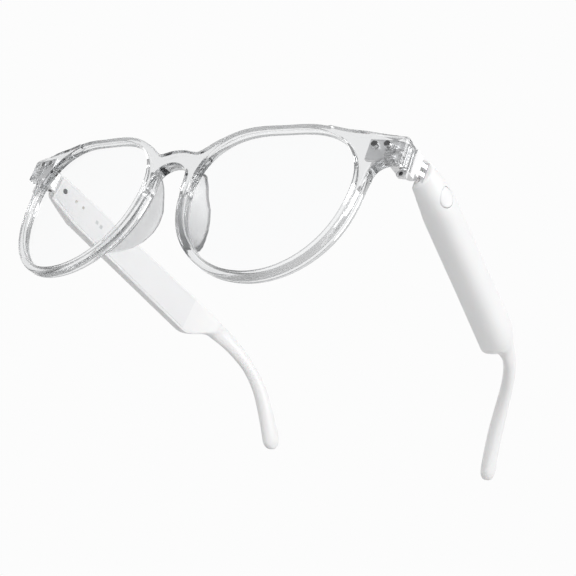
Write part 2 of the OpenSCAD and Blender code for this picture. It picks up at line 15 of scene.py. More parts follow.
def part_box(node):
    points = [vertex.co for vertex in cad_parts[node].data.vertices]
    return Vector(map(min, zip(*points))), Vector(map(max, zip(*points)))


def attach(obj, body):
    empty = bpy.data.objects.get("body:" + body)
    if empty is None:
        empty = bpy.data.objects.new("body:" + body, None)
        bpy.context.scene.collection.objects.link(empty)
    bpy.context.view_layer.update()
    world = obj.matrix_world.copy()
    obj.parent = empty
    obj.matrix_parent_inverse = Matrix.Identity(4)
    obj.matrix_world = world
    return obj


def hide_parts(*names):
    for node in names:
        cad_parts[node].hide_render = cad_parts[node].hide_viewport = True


MM = 0.001
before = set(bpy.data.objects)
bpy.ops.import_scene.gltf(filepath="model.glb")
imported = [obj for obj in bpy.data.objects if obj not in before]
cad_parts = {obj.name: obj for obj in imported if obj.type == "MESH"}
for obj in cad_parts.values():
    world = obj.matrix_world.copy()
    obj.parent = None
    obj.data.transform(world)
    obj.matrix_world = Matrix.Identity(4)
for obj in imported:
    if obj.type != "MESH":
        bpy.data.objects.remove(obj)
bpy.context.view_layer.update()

# ---- Sizes, as in the CAD part, in millimetres ----

LENS_HALF = (24.1, 21.4)  # half width and half height of the lens opening
LENS_SQUARENESS = 2.27  # 2 is an oval
LENS_TAPER = 1.1  # pushes the two upper corners and the bottom out
LENS_LEAN = 0.3  # makes the nose side differ from the outer side
LENS_X = 33.6  # centre of a lens, from the middle of the bridge
LENS_T = 1.8
LENS_GAP = 1.0  # from the face of the front back to the lens
GROOVE = 0.65  # how far the lens edge reaches into the rim
GROOVE_R = 1.02
RIM_W = 2.3  # mean width of the rim
RIM_LOW = -24.6  # lowest point of the rims
DEPTH = 3.8  # thickness of the front
BEND_R = 370.0  # radius that the front is bent to
END_X = 68.2  # outer end of an end piece, then its lower and upper edge there
END_LOW = 11.7
END_HIGH = 19.4
HINGE = (66.2, 15.6, 16.0)
YAW = 6.0  # an open temple's turn outwards and downwards, in degrees
PITCH = 5.3

front_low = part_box("front_frame")[0]
PLACE = Matrix.Translation((0, front_low.y, front_low.z - RIM_LOW * MM)) @ Matrix.Scale(MM, 4)
MIRROR = Matrix.Scale(-1, 4, (1, 0, 0))
TEMPLE = (
    Matrix.Translation(HINGE)
    @ Matrix.Rotation(math.radians(YAW), 4, "Z")
    @ Matrix.Rotation(math.radians(-PITCH), 4, "X")
)


def placed(side, local=None):
    """The matrix from millimetres in the front's or the temple's frame to the row frame."""
    flip = MIRROR if side == "right" else Matrix.Identity(4)
    return PLACE @ flip @ (local or Matrix.Identity(4))


# ---- Meshes ----


def add_mesh(name, verts, faces, matrix, smooth_angle=None, normals=None):
    """A smooth-shaded object, with sharp edges past smooth_angle or with its own vertex normals."""
    mesh = bpy.data.meshes.new(name)
    mesh.from_pydata([tuple(v) for v in verts], [], [tuple(f) for f in faces])
    obj = bpy.data.objects.new(name, mesh)
    bpy.context.collection.objects.link(obj)
    mesh.transform(matrix)
    if matrix.determinant() < 0:
        mesh.flip_normals()
    mesh.shade_smooth()
    if smooth_angle:
        mesh.set_sharp_from_angle(angle=math.radians(smooth_angle))
    if normals is not None:
        turned = normals @ np.linalg.inv(np.array(matrix.to_3x3()))
        turned /= np.linalg.norm(turned, axis=1)[:, None]
        mesh.normals_split_custom_set_from_vertices([tuple(n) for n in turned])
    return obj


def smoothstep(a, b, x):
    t = np.clip((np.asarray(x, float) - a) / (b - a), 0, 1)
    return t * t * (3 - 2 * t)


def between(value, low, high):
    """Distance to the stretch from low to high, negative inside it."""
    return np.abs(value - (low + high) / 2) - (high - low) / 2


def rounded_max(a, b, r):
    """Intersection of two distance fields, with its outer edge rounded to radius r."""
    return np.minimum(np.maximum(a, b), -r) + np.hypot(np.maximum(a + r, 0), np.maximum(b + r, 0))


def smooth_min(a, b, k):
    """Union of two distance fields, with a fillet of about k along the joint."""
    h = np.maximum(k - np.abs(a - b), 0) / k
    return np.minimum(a, b) - h * h * k / 4


class PlanField:
    """Signed distance to a closed outline in a plane, kept on a grid and read back smoothly."""

    def __init__(self, outline, low, high, step=0.5):
        self.low, self.step = np.array(low, float), step
        xs = np.arange(low[0], high[0] + step, step)
        zs = np.arange(low[1], high[1] + step, step)
        gx, gz = np.meshgrid(xs, zs, indexing="ij")
        p = np.stack([gx.ravel(), gz.ravel()], 1)
        a = np.asarray(outline, float)
        b = np.roll(a, -1, 0)
        best = np.full(len(p), 1e9)
        inside = np.zeros(len(p), bool)
        for (ax, az), (bx, bz) in zip(a, b):
            ex, ez = bx - ax, bz - az
            px, pz = p[:, 0] - ax, p[:, 1] - az
            t = np.clip((px * ex + pz * ez) / (ex * ex + ez * ez), 0, 1)
            best = np.minimum(best, np.hypot(px - t * ex, pz - t * ez))
            crosses = (az > p[:, 1]) != (bz > p[:, 1])
            if az != bz:
                inside ^= crosses & (px < ex * (p[:, 1] - az) / ez)
        self.grid = np.where(inside, -best, best).reshape(gx.shape)

    def __call__(self, x, z):
        """Bicubic reading, so that a surface built on it has no steps."""
        x, z = np.broadcast_arrays(np.asarray(x, float), np.asarray(z, float))
        u = np.clip((x - self.low[0]) / self.step, 1, self.grid.shape[0] - 2.001)
        v = np.clip((z - self.low[1]) / self.step, 1, self.grid.shape[1] - 2.001)
        i, j = np.floor(u).astype(int), np.floor(v).astype(int)
        i = np.minimum(i, self.grid.shape[0] - 3)
        j = np.minimum(j, self.grid.shape[1] - 3)
        wu, wv = cubic_weights(u - i), cubic_weights(v - j)
        total = 0
        for m in range(4):
            row = sum(self.grid[i + m - 1, j + n - 1] * wv[n] for n in range(4))
            total = total + row * wu[m]
        return total


def cubic_weights(t):
    """Weights of four neighbours in a row, for a point at t between the middle two."""
    t2, t3 = t * t, t * t * t
    return (
        (-t3 + 2 * t2 - t) / 2,
        (3 * t3 - 5 * t2 + 2) / 2,
        (-3 * t3 + 4 * t2 + t) / 2,
        (t3 - t2) / 2,
    )


CORNERS = [(i, j, k) for i in (0, 1) for j in (0, 1) for k in (0, 1)]
EDGES = [
    (a, b)
    for a in range(8)
    for b in range(a + 1, 8)
    if sum(abs(p - q) for p, q in zip(CORNERS[a], CORNERS[b])) == 1
]


def surface_of(field, low, high, step):
    """A quad mesh of the surface where field(x, y, z) is zero, inside a box, and the slope there."""
    axes = [np.arange(lo, hi + step, step) for lo, hi in zip(low, high)]
    f = field(axes[0][:, None, None], axes[1][None, :, None], axes[2][None, None, :])
    f = np.ascontiguousarray(np.broadcast_to(f, [len(a) for a in axes]))
    inside = f < 0
    cells = [n - 1 for n in f.shape]

    def corner(grid, c):
        return grid[c[0] : c[0] + cells[0], c[1] : c[1] + cells[1], c[2] : c[2] + cells[2]]

    count = sum(corner(inside, c).astype(np.int8) for c in CORNERS)
    active = (count > 0) & (count < 8)
    where = np.argwhere(active)
    index = np.full(cells, -1, np.int64)
    index[active] = np.arange(len(where))
    values = [corner(f, c)[active] for c in CORNERS]
    total = np.zeros((len(where), 3))
    hits = np.zeros(len(where))
    for a, b in EDGES:
        fa, fb = values[a], values[b]
        cut = (fa < 0) != (fb < 0)
        t = fa[cut] / (fa[cut] - fb[cut])
        pa, pb = np.array(CORNERS[a], float), np.array(CORNERS[b], float)
        total[cut] += pa + t[:, None] * (pb - pa)
        hits[cut] += 1
    verts = np.array(low) + step * (where + total / hits[:, None])
    faces = []
    for axis in range(3):
        first = np.take(inside, range(0, f.shape[axis] - 1), axis)
        second = np.take(inside, range(1, f.shape[axis]), axis)
        at = np.argwhere(first != second)
        others = [(axis + 1) % 3, (axis + 2) % 3]
        keep = np.all([(at[:, o] > 0) & (at[:, o] < f.shape[o] - 1) for o in others], axis=0)
        at = at[keep]
        leaving = first[tuple(at.T)]
        ring = []
        for du, dv in ((1, 1), (0, 1), (0, 0), (1, 0)):
            cell = at.copy()
            cell[:, others[0]] -= du
            cell[:, others[1]] -= dv
            ring.append(index[tuple(cell.T)])
        quads = np.stack(ring, 1)
        quads[~leaving] = quads[~leaving][:, ::-1]
        faces.append(quads)
    verts, slope = settle(field, verts, step)
    return verts, np.concatenate(faces), slope


def slope_of(field, verts):
    reach = 0.02
    pairs = [(field(*(verts + d).T), field(*(verts - d).T)) for d in reach * np.eye(3)]
    return np.stack([(after - before) / (2 * reach) for after, before in pairs], 1)


def settle(field, verts, step, rounds=3):
    """Moves each vertex onto the surface along the field's slope, and gives the slope there."""
    for _ in range(rounds):
        slope = slope_of(field, verts)
        move = -field(*verts.T)[:, None] * slope / np.maximum((slope**2).sum(1), 0.25)[:, None]
        limit = 0.4 * step / np.maximum(np.linalg.norm(move, axis=1), 1e-9)
        verts = verts + move * np.minimum(limit, 1)[:, None]
    return verts, slope_of(field, verts)


# ---- Outlines of the front ----


def lens_point(a):
    """The point of the lens opening's outline in each direction a, from its own centre."""
    c, s = np.cos(a), np.sin(a)
    p = LENS_SQUARENESS
    oval = (np.abs(c / LENS_HALF[0]) ** p + np.abs(s / LENS_HALF[1]) ** p) ** (-1 / p)
    reach = oval + LENS_TAPER * np.sin(3 * a) - LENS_LEAN * np.cos(3 * a)
    return reach[..., None] * np.stack([c, s], -1)


def lens_outline(grow, count=360):
    """The lens opening's outline, grown outwards, with its own centre as origin."""
    a = np.arange(count) * 2 * math.pi / count
    along = lens_point(a + 0.01) - lens_point(a - 0.01)
    normal = np.stack([along[:, 1], -along[:, 0]], 1)
    normal /= np.linalg.norm(normal, axis=1)[:, None]
    width = grow(a)[:, None] if callable(grow) else grow
    return lens_point(a) + normal * width


def rim_width(a):
    """The rim is widest at its two sides, and wider below than on top."""
    return RIM_W - 0.25 * np.sin(a) + 0.45 * np.cos(2 * a)


def arc(centre, r, a0, a1, n=12):
    """Points on an arc from angle a0 to a1, in degrees."""
    a = np.radians(np.linspace(a0, a1, n + 1))
    return [(centre[0] + r * math.cos(t), centre[1] + r * math.sin(t)) for t in a]


def front_y(x):
    """How far back the face of the bent front is at x."""
    return x * x / 2 / BEND_R


END_SHOULDER = (46.2, 21.6)  # where the rim's top passes into the end piece
END_START = (52.2, 20.75)  # from here the end piece's top runs straight out to END_X
END_SLOPE = (END_START[1] - END_HIGH) / (END_X - END_START[0])
END_FILLET = 4.6

plan_low, plan_high = (-4, -30), (72, 26)
hole = PlanField(lens_outline(0) + (LENS_X, 0), plan_low, plan_high)
rim = PlanField(lens_outline(rim_width) + (LENS_X, 0), plan_low, plan_high)
end_piece = PlanField(
    [(47.6, 9), (47.6, 18), END_SHOULDER, END_START, (END_X, END_HIGH), (END_X, END_LOW)]
    + arc((END_X - 2.6, END_LOW - END_FILLET), END_FILLET, 90, 180)
    + [(59, 0), (56, 4)],
    plan_low,
    plan_high,
)


BRIDGE_TOP = 14.8
BRIDGE_DIP = (1, 6.8, 0.9)  # the top sinks between these two places, by this much
BRIDGE_RISE = (6.8, 13.5, 2.3)  # and then rises to the rim
NOSE_ARCH = (6.7, 6.3)  # half width and height of the arch over the nose
NOSE_ARCH_Z = 3.5
BRIDGE_LOW = 2.5  # the bridge keeps above this height and inside this distance from its middle
BRIDGE_SIDE = 13


def bridge_field(x, z):
    """The arch between the rims. The factors bring its slopes near to those of a distance."""
    top = BRIDGE_TOP - BRIDGE_DIP[2] * smoothstep(*BRIDGE_DIP[:2], x)
    top = top + BRIDGE_RISE[2] * smoothstep(*BRIDGE_RISE[:2], x)
    above = (z - top) * 0.97
    over_arch = np.maximum(z - NOSE_ARCH_Z, 0)
    ellipse = np.sqrt((x / NOSE_ARCH[0]) ** 2 + (over_arch / NOSE_ARCH[1]) ** 2)
    below = (1 - ellipse) * 6.4
    ends = np.maximum(BRIDGE_LOW - z, x - BRIDGE_SIDE)
    return np.maximum(np.maximum(above, below), ends)


BRIDGE_FILLET = 3.0
END_BLEND = 1.2
FRONT_EDGE_R = 0.95
RIM_EDGE_R = 0.35  # round the lens opening
CORNER_R = 2.2  # the end piece's outer corner, seen from above
LIP_T = 2.1  # the lip that turns back from the end piece, beside the hinge
LIP_Y = (6.0, 12.0)
LIP_Z = (12.0, 19.1)
BEVEL_DOWN, BEVEL_BACK = 1.9, 1.1
BEVEL_START = 46
BEVEL_GROWS = (48, 64)
SCREW_XS = (59.3, 63.0)
SCREW_Z = 17.1
SCREW_HOLE_R = 0.93
SCREW_HOLE_Y = 6.9  # how deep the holes from behind go


def end_bevel(x, z, depth):
    """A bevel along the top of the end piece, which widens towards its outer corner."""
    over = z - (END_START[1] - END_SLOPE * (x - END_START[0]))
    slant = math.hypot(BEVEL_DOWN, BEVEL_BACK)
    plane = (BEVEL_BACK * over - BEVEL_DOWN * depth) / slant
    width = 1.25 * smoothstep(*BEVEL_GROWS, x) - 0.25
    return np.where(x > BEVEL_START, plane + BEVEL_BACK * BEVEL_DOWN / slant * width, -9)


def front_field(x, y, z):
    """Distance to the whole clear front, about zero on its surface and negative inside."""
    x = np.abs(x)
    depth = y - front_y(x)
    opening = hole(x, z)
    plan = smooth_min(rim(x, z), bridge_field(x, z), BRIDGE_FILLET)
    plan = smooth_min(plan, end_piece(x, z), END_BLEND)
    body = rounded_max(plan, between(depth, 0, DEPTH), FRONT_EDGE_R)
    lip = np.maximum(between(x, END_X - LIP_T, END_X), between(z, *LIP_Z))
    lip = rounded_max(lip, between(y, *LIP_Y), 0.3)
    body = smooth_min(body, lip, 0.5)
    body = rounded_max(body, end_bevel(x, z, depth), 0.2)
    body = rounded_max(body, rounded_max(x - END_X, -depth, CORNER_R), 0.1)
    groove = np.hypot(opening + GROOVE_R - GROOVE, depth - LENS_GAP - LENS_T / 2) - GROOVE_R
    body = rounded_max(body, -smooth_min(opening, groove, 0.4), RIM_EDGE_R)
    for screw_x in SCREW_XS:
        shaft = np.hypot(x - screw_x, z - SCREW_Z) - SCREW_HOLE_R
        body = np.maximum(body, -np.maximum(shaft, SCREW_HOLE_Y - y))
    return body


def build_front():
    """The clear front in one piece. Its mesh is coarser while other pieces are worked on."""
    low, high = (-69, -0.6, -25.4), (69, 12.8, 22.8)
    step = 0.19
    verts, faces, normals = surface_of(front_field, low, high, step)
    obj = add_mesh("front_frame_clear", verts, faces, PLACE, normals=normals)
    return finish_piece(obj, "front", "clear_frame", ["front_frame"])


# ---- Lenses ----


def build_lens(side):
    """A thin lens that follows the front's bend, with a round edge that sits in the groove."""
    count = 240
    edge_r = GROOVE_R - 0.05
    steepest = math.asin(LENS_T / 2 / edge_r)
    rim_of_lens = [
        (GROOVE - GROOVE_R + edge_r * math.cos(a), LENS_T / 2 + edge_r * math.sin(a))
        for a in np.linspace(-steepest, steepest, 17)
    ]
    flat = lens_outline(rim_of_lens[0][0], count)
    profile = [(flat, k, 0.0) for k in (0.25, 0.5, 0.75)]
    profile += [(lens_outline(grow, count), 1.0, back) for grow, back in rim_of_lens]
    profile += [(flat, k, LENS_T) for k in (0.75, 0.5, 0.25)]
    verts = []
    for outline, k, back in profile:
        for x, z in outline * k + (LENS_X, 0):
            verts.append((x, front_y(x) + LENS_GAP + back, z))
    faces = []
    for r in range(len(profile) - 1):
        for i in range(count):
            j = (i + 1) % count
            faces.append((r * count + j, r * count + i, (r + 1) * count + i, (r + 1) * count + j))
    for r, back in ((0, 0.0), (len(profile) - 1, LENS_T)):
        middle = len(verts)
        verts.append((LENS_X, front_y(LENS_X) + LENS_GAP + back, 0.0))
        for i in range(count):
            j = (i + 1) % count
            pair = (r * count + i, r * count + j) if r == 0 else (r * count + j, r * count + i)
            faces.append((middle, *pair))
    obj = add_mesh(f"lens_{side}_clear", verts, faces, placed(side), smooth_angle=12)
    return finish_piece(obj, "front", "clear_lens", [f"lens_{side}"])


# ---- Nose pads ----

PAD_T = 2.1
PAD_SPLAY = math.radians(12)  # the fins open towards the face, round this point (x, y)
PAD_PIVOT = (8.0, 4.0)
PAD_EDGE_R = 0.55
pad_profile = PlanField(
    [(2, 9), (5.6, 8.6), (7.6, 6.6), (9.3, 3.8), (11.2, 1.2), (12, -2.2), (11.9, -5.4)]
    + [(10.9, -8.8), (9.2, -11.9), (7, -14.4), (4.6, -16.2), (2, -16.6)],
    (-4, -22),
    (20, 15),
)


def pad_field(x, y, z):
    """A fin that follows the rim, cut to the pad's side outline, behind the front."""
    c, s = math.cos(PAD_SPLAY), math.sin(PAD_SPLAY)
    px, py = x - PAD_PIVOT[0], y - PAD_PIVOT[1]
    u = c * px - s * py + PAD_PIVOT[0]
    band = np.abs(rim(u, z) + 0.1 + PAD_T / 2) - PAD_T / 2
    band = np.maximum(band, u - 24)
    fin = rounded_max(band, pad_profile(y, z), PAD_EDGE_R)
    behind = front_y(x) + DEPTH + 0.03 - y
    return rounded_max(fin, behind, 0.15)


def build_pad(side):
    """One clear nose pad."""
    step = 0.2
    verts, faces, normals = surface_of(pad_field, (4.5, 3.0, -17.6), (20, 12.6, 10), step)
    obj = add_mesh(f"nose_pad_{side}_clear", verts, faces, placed(side), normals=normals)
    return finish_piece(obj, "front", "clear_pad", [f"nose_pad_{side}"])


# ---- Temples ----

INNER_X = 0.3  # the flat inner face
TOP_Z = 4.8
WALL = 1.1
HOUSING = (2.1, 74.0)  # the hollow part, along the temple
HOUSING_AT = (HOUSING[0], 14, HOUSING[1])  # places where its size is given
HOUSING_R = (4.65, 5.6, 6.8)  # half its height there
HOUSING_MID = (-0.1, 1.2, 0.6)  # its middle there, outwards from INNER_X
HOUSING_END_R = 0.8  # rounding of its front end
EAR_Z = 1.2  # height of the line that the temple's sections are drawn round
EAR_BEND_AT = 91.0
EAR_BEND_R = 36.0
EAR_BEND = math.radians(49)
EAR_ARC = EAR_BEND_R * EAR_BEND
EAR_END = 15.0  # straight length after the bend
TIP_R = 3.9
T_END = EAR_BEND_AT + EAR_ARC + EAR_END + TIP_R
# Half height and half thickness of the ear piece, by place along the temple.
EAR_HEIGHTS = {84: 3.4, 89: 3.55, 109: 2.62, 125: 3.2, T_END - TIP_R: 3.95}
EAR_THICKNESSES = {84: 1.8, 105: 1.95, 122: 2.3, T_END: 2.25}


def centre_line(t):
    """Point (y, z) and direction of the temple's middle line in the side view, t along it."""
    a = float(np.clip((t - EAR_BEND_AT) / EAR_BEND_R, 0, EAR_BEND))
    rest = max(t - EAR_BEND_AT - EAR_ARC, 0)
    before = min(t, EAR_BEND_AT)
    y = before + EAR_BEND_R * math.sin(a) + rest * math.cos(a)
    z = EAR_Z - EAR_BEND_R * (1 - math.cos(a)) - rest * math.sin(a)
    return y, z, a


def ear_x(y):
    """The ear piece leans in towards the head."""
    return 1.9 - 10.8 * float(smoothstep(88, 134, y)) + 0.4 * float(smoothstep(92, 108, y))


def squareness(t):
    """How far the section is from an oval (2): the housing's outer face and underside are flatter."""
    return 2 + 0.45 * float(smoothstep(2, 8, t) * (1 - smoothstep(74, 90, t)))


def read_table(table, t):
    return float(np.interp(t, list(table), list(table.values())))


def section(t, inset):
    """Half height, middle height, half thickness, middle x and inner cut of the section at t."""
    shoulder = float(np.interp(t, [0, HOUSING_AT[1]], [0, 1])) ** 0.8
    r = float(np.interp(t, HOUSING_AT, HOUSING_R))
    cx = INNER_X + float(np.interp(t, HOUSING_AT, HOUSING_MID))
    house = np.array([r, TOP_Z - r - EAR_Z, r * (0.93 + 0.07 * shoulder), cx, INNER_X])
    half_h = read_table(EAR_HEIGHTS, t)
    half_t = read_table(EAR_THICKNESSES, t)
    middle = ear_x(centre_line(t)[0])
    ear = np.array([half_h, 0.0, half_t, middle, middle - half_t - 1.0])
    # The housing passes into the ear piece: height first, then the sides, then the flat face.
    to_height = float(smoothstep(73.5, 88.5, t))
    to_side = float(smoothstep(72, 92, t))
    to_ear = np.array([to_height, to_height, to_side, to_side, float(smoothstep(76, 96, t))])
    shape = house * (1 - to_ear) + ear * to_ear
    return shape - np.array([inset, 0, inset, 0, -inset])


def end_shrink(d, r):
    """How far a rounded end of radius r draws a section in, at distance d from the end."""
    if d >= r:
        return 0.0
    return r - math.sqrt(max(r * r - (r - max(d, 0)) ** 2, 0))


def reach_of_oval(c, s, offset, half_t, half_h, power):
    """Distance along each direction (c, s), from a point offset from the middle, to the oval."""
    low, high = np.zeros_like(c), np.full_like(c, 30.0)
    for _ in range(32):
        middle = (low + high) / 2
        across, up = np.abs(offset + middle * c) / half_t, np.abs(middle * s) / half_h
        inside = across**power + up**power < 1
        low, high = np.where(inside, middle, low), np.where(inside, high, middle)
    return low


def loft(name, stations, count, shape_at, matrix):
    """A closed skin over sections along the temple, each an oval with a flat inner side."""
    sharp = 30.0
    verts, faces = [], []
    angles = np.arange(count) * 2 * math.pi / count
    for t in stations:
        half_h, mid_z, half_t, mid_x, cut_x = shape_at(t)
        y, z, tilt = centre_line(t)
        # Rays leave from a point well inside what the flat inner side leaves of the oval.
        eye = max(mid_x, (cut_x + mid_x + half_t) / 2)
        c, s = np.cos(angles), np.sin(angles)
        oval = reach_of_oval(c, s, eye - mid_x, half_t, half_h, squareness(t))
        flat = (eye - cut_x) / np.maximum(-c, 1e-3)
        reach = (oval**-sharp + flat**-sharp) ** (-1 / sharp)
        for r, ca, sa in zip(reach, c, s):
            n = mid_z + r * sa
            verts.append((eye + r * ca, y + n * math.sin(tilt), z + n * math.cos(tilt)))
    last = len(stations) - 1
    for k in range(last):
        for i in range(count):
            j = (i + 1) % count
            faces.append((k * count + i, (k + 1) * count + i, (k + 1) * count + j, k * count + j))
    faces.append(tuple(range(count)))
    faces.append(tuple(last * count + i for i in reversed(range(count))))
    return add_mesh(name, verts, faces, matrix)


def outer_section(t):
    """The temple's outside at t, drawn in at both ends."""
    shape = section(t, 0)
    front = end_shrink(t - HOUSING[0], HOUSING_END_R)
    shape = shape - np.array([front, 0, front, 0, -front])
    back = T_END - t
    if back < TIP_R:
        k = math.sqrt(max(1 - (1 - back / TIP_R) ** 2, 0.0009))
        shape[0] *= k
        shape[2] *= 0.35 + 0.65 * k
    return shape


def prism(name, outline, x0, x1, matrix):
    """A plate between x0 and x1 with an outline of (y, z) points."""
    n = len(outline)
    verts = [(x, y, z) for x in (x0, x1) for y, z in outline]
    faces = [tuple(reversed(range(n))), tuple(range(n, 2 * n))]
    faces += [(i, (i + 1) % n, n + (i + 1) % n, n + i) for i in range(n)]
    return add_mesh(name, verts, faces, matrix)


def circle(y, z, r, n=64):
    """Points of a circle in the side view."""
    a = np.arange(n) * 2 * math.pi / n
    return [(y + r * math.cos(t), z + r * math.sin(t)) for t in a]


BUTTON = (10.6, -0.9)
BUTTON_R = 2.7
BUTTON_GAP = 0.12
COVER_T = 1.0
COVER_EDGE = 0.9
COVER_GAP = 0.05
CAVITY = (HOUSING[0] + 1.15, HOUSING[1] - 1.1)
OUTLET = ((2.4, CAVITY[1] - 1, -6.6), (4.8, HOUSING[1] + 9, -5.2))
ARM_SLOT = ((1.6, 0, -3.1), (3.0, 7.6, 3.1))


def cover_outline(grow):
    """The inner cover's outline (y, z), which follows the housing's lower edge."""
    low = [TOP_Z - r - math.sqrt(r * r - c * c) for r, c in zip(HOUSING_R, HOUSING_MID)]
    high = TOP_Z - 0.1 - COVER_EDGE + grow
    return [
        (CAVITY[0] - grow, high),
        (CAVITY[0] - grow, low[0] + COVER_EDGE + 0.4 - grow),
        (HOUSING_AT[1], low[1] + COVER_EDGE - grow),
        (CAVITY[1] + grow, low[2] + COVER_EDGE - grow),
        (CAVITY[1] + grow, high),
    ]


def box_cutter(name, low, high, matrix):
    """A box between two corners (x, y, z)."""
    outline = [(low[1], low[2]), (high[1], low[2]), (high[1], high[2]), (low[1], high[2])]
    return prism(name, outline, low[0], high[0], matrix)


def cut(obj, cutters):
    """Takes the cutters out of the object and deletes them."""
    for cutter in cutters:
        mod = obj.modifiers.new("cut", "BOOLEAN")
        mod.operation = "DIFFERENCE"
        mod.solver = "EXACT"
        mod.object = cutter
    bpy.context.view_layer.update()
    done = bpy.data.meshes.new_from_object(obj.evaluated_get(bpy.context.evaluated_depsgraph_get()))
    obj.modifiers.clear()
    obj.data = done
    for cutter in cutters:
        bpy.data.objects.remove(cutter)


def build_shell(side):
    """The hollow white temple with its ear piece, open for the cover, button, hinge and sound."""
    matrix = placed(side, TEMPLE)
    quarter = math.pi / 2
    front = [HOUSING[0] + HOUSING_END_R * (1 - math.cos(a)) for a in np.linspace(0, quarter, 7)]
    tip = [T_END - TIP_R * (1 - math.sin(a)) for a in np.linspace(0, quarter, 14)]
    stations = front + list(np.arange(3.4, tip[0] - 0.5, 0.8)) + tip
    shell = loft(f"temple_shell_{side}_white", stations, 128, outer_section, matrix)
    inside = [CAVITY[0]] + list(np.arange(4, CAVITY[1], 4)) + [CAVITY[1]]
    hollow = loft("hollow", inside, 48, lambda t: section(t, WALL), matrix)
    cutters = [
        hollow,
        prism("recess", cover_outline(COVER_GAP), -1, INNER_X + COVER_T, matrix),
        prism("hole", circle(*BUTTON, BUTTON_R + BUTTON_GAP), 2.1, 12, matrix),
        box_cutter("slot", *ARM_SLOT, matrix),
        box_cutter("outlet", *OUTLET, matrix),
    ]
    cut(shell, cutters)
    shell.data.shade_smooth()
    shell.data.set_sharp_from_angle(angle=math.radians(40))
    return finish_piece(shell, f"temple_{side}", "temple_white", [f"temple_shell_{side}"])


def outer_x(y, z):
    """Where the temple's outer surface is, on its straight part."""
    half_h, mid_z, half_t, mid_x, _ = section(y, 0)
    power = squareness(y)
    up = abs((z - EAR_Z - mid_z) / half_h)
    return mid_x + half_t * max(1 - up**power, 0) ** (1 / power)


PLUNGER_END = 4.1
PLUNGER_R = 0.8
CAP_EDGE_R = 0.35
CAP_PROUD = 0.1  # how far the cap stands out of the temple's face
CAP_SKIRT = 0.9  # how deep the cap goes into its hole, below the face's lowest point there


def build_button(side):
    """A cap that follows the temple's surface with a rounded rim, on a short plunger."""
    count, edge = 48, CAP_EDGE_R
    radii = [0.5, 1.0, 1.5, 1.9, BUTTON_R - edge]
    radii += [BUTTON_R - edge + edge * math.sin(a) for a in np.linspace(0.3, math.pi / 2, 6)]
    low = min(outer_x(BUTTON[0], BUTTON[1] + dz) for dz in (-BUTTON_R, BUTTON_R))
    low -= CAP_SKIRT
    verts = [(outer_x(*BUTTON) + CAP_PROUD, *BUTTON)]
    for r in radii:
        down = edge - math.sqrt(max(edge**2 - max(r - BUTTON_R + edge, 0) ** 2, 0))
        for y, z in circle(*BUTTON, r, count):
            verts.append((outer_x(y, z) + CAP_PROUD - down, y, z))
    for r, x in ((BUTTON_R, low), (PLUNGER_R, low), (PLUNGER_R, PLUNGER_END)):
        verts += [(x, y, z) for y, z in circle(*BUTTON, r, count)]
    verts.append((PLUNGER_END, *BUTTON))
    rings = len(radii) + 3
    faces = [(0, 1 + i, 1 + (i + 1) % count) for i in range(count)]
    for k in range(rings - 1):
        a, b = 1 + k * count, 1 + (k + 1) * count
        faces += [(a + i, b + i, b + (i + 1) % count, a + (i + 1) % count) for i in range(count)]
    last = 1 + (rings - 1) * count
    faces += [(last + (i + 1) % count, last + i, last + count) for i in range(count)]
    obj = add_mesh(f"button_{side}_cap", verts, faces, placed(side, TEMPLE), smooth_angle=40)
    return finish_piece(obj, f"button_{side}_body", "button_white", [f"button_{side}"])


TEETH_X = (62.4, 64.5)
TEETH_Z = (13.2, 17.7)
TEETH = 6
TOOTH_H = 0.6
BOSS = (65.3, 15.6)
BOSS_R = 1.15
BOSS_SIDES = 7
BOSS_STEPS = ((1, 0.0), (0.8, 0.5), (0.35, 0.75))  # share of its radius, and height there


def build_anchor(side):
    """Teeth and a faceted boss on the hinge plate, moulded into the clear end piece."""
    verts, faces = [], []

    def plate_y(x):
        return front_y(x) + DEPTH + 0.1

    pitch = (TEETH_Z[1] - TEETH_Z[0]) / TEETH
    for tooth in range(TEETH):
        z = TEETH_Z[0] + tooth * pitch
        first = len(verts)
        for x in TEETH_X:
            y = plate_y(x)
            verts += [(x, y, z), (x, y - TOOTH_H, z + pitch * 0.3), (x, y, z + pitch * 0.85)]
        faces += [tuple(first + k for k in face) for face in ((0, 1, 2), (5, 4, 3))]
        for a, b in ((0, 1), (1, 2), (2, 0)):
            faces.append((first + a, first + a + 3, first + b + 3, first + b))
    first, sides = len(verts), BOSS_SIDES
    for share, lift in BOSS_STEPS:
        radius = BOSS_R * share
        for k in range(sides):
            # Each ring is turned a little from the one below, so the facets break up the light.
            a = 2 * math.pi * (k + 2 * lift / 3) / sides
            x, z = BOSS[0] + radius * math.cos(a), BOSS[1] + radius * math.sin(a)
            verts.append((x, plate_y(BOSS[0]) - lift, z))
    for ring in range(len(BOSS_STEPS) - 1):
        a, b = first + ring * sides, first + (ring + 1) * sides
        faces += [(a + k, a + (k + 1) % sides, b + (k + 1) % sides, b + k) for k in range(sides)]
    faces.append(tuple(first + k for k in reversed(range(sides))))
    last = first + (len(BOSS_STEPS) - 1) * sides
    faces.append(tuple(last + k for k in range(sides)))
    obj = add_mesh(f"hinge_anchor_{side}", verts, faces, placed(side), smooth_angle=20)
    return finish_piece(obj, "front", "hinge_metal", [f"front_leaf_{side}"])


# ---- Pieces that keep their CAD shape, with softened edges ----


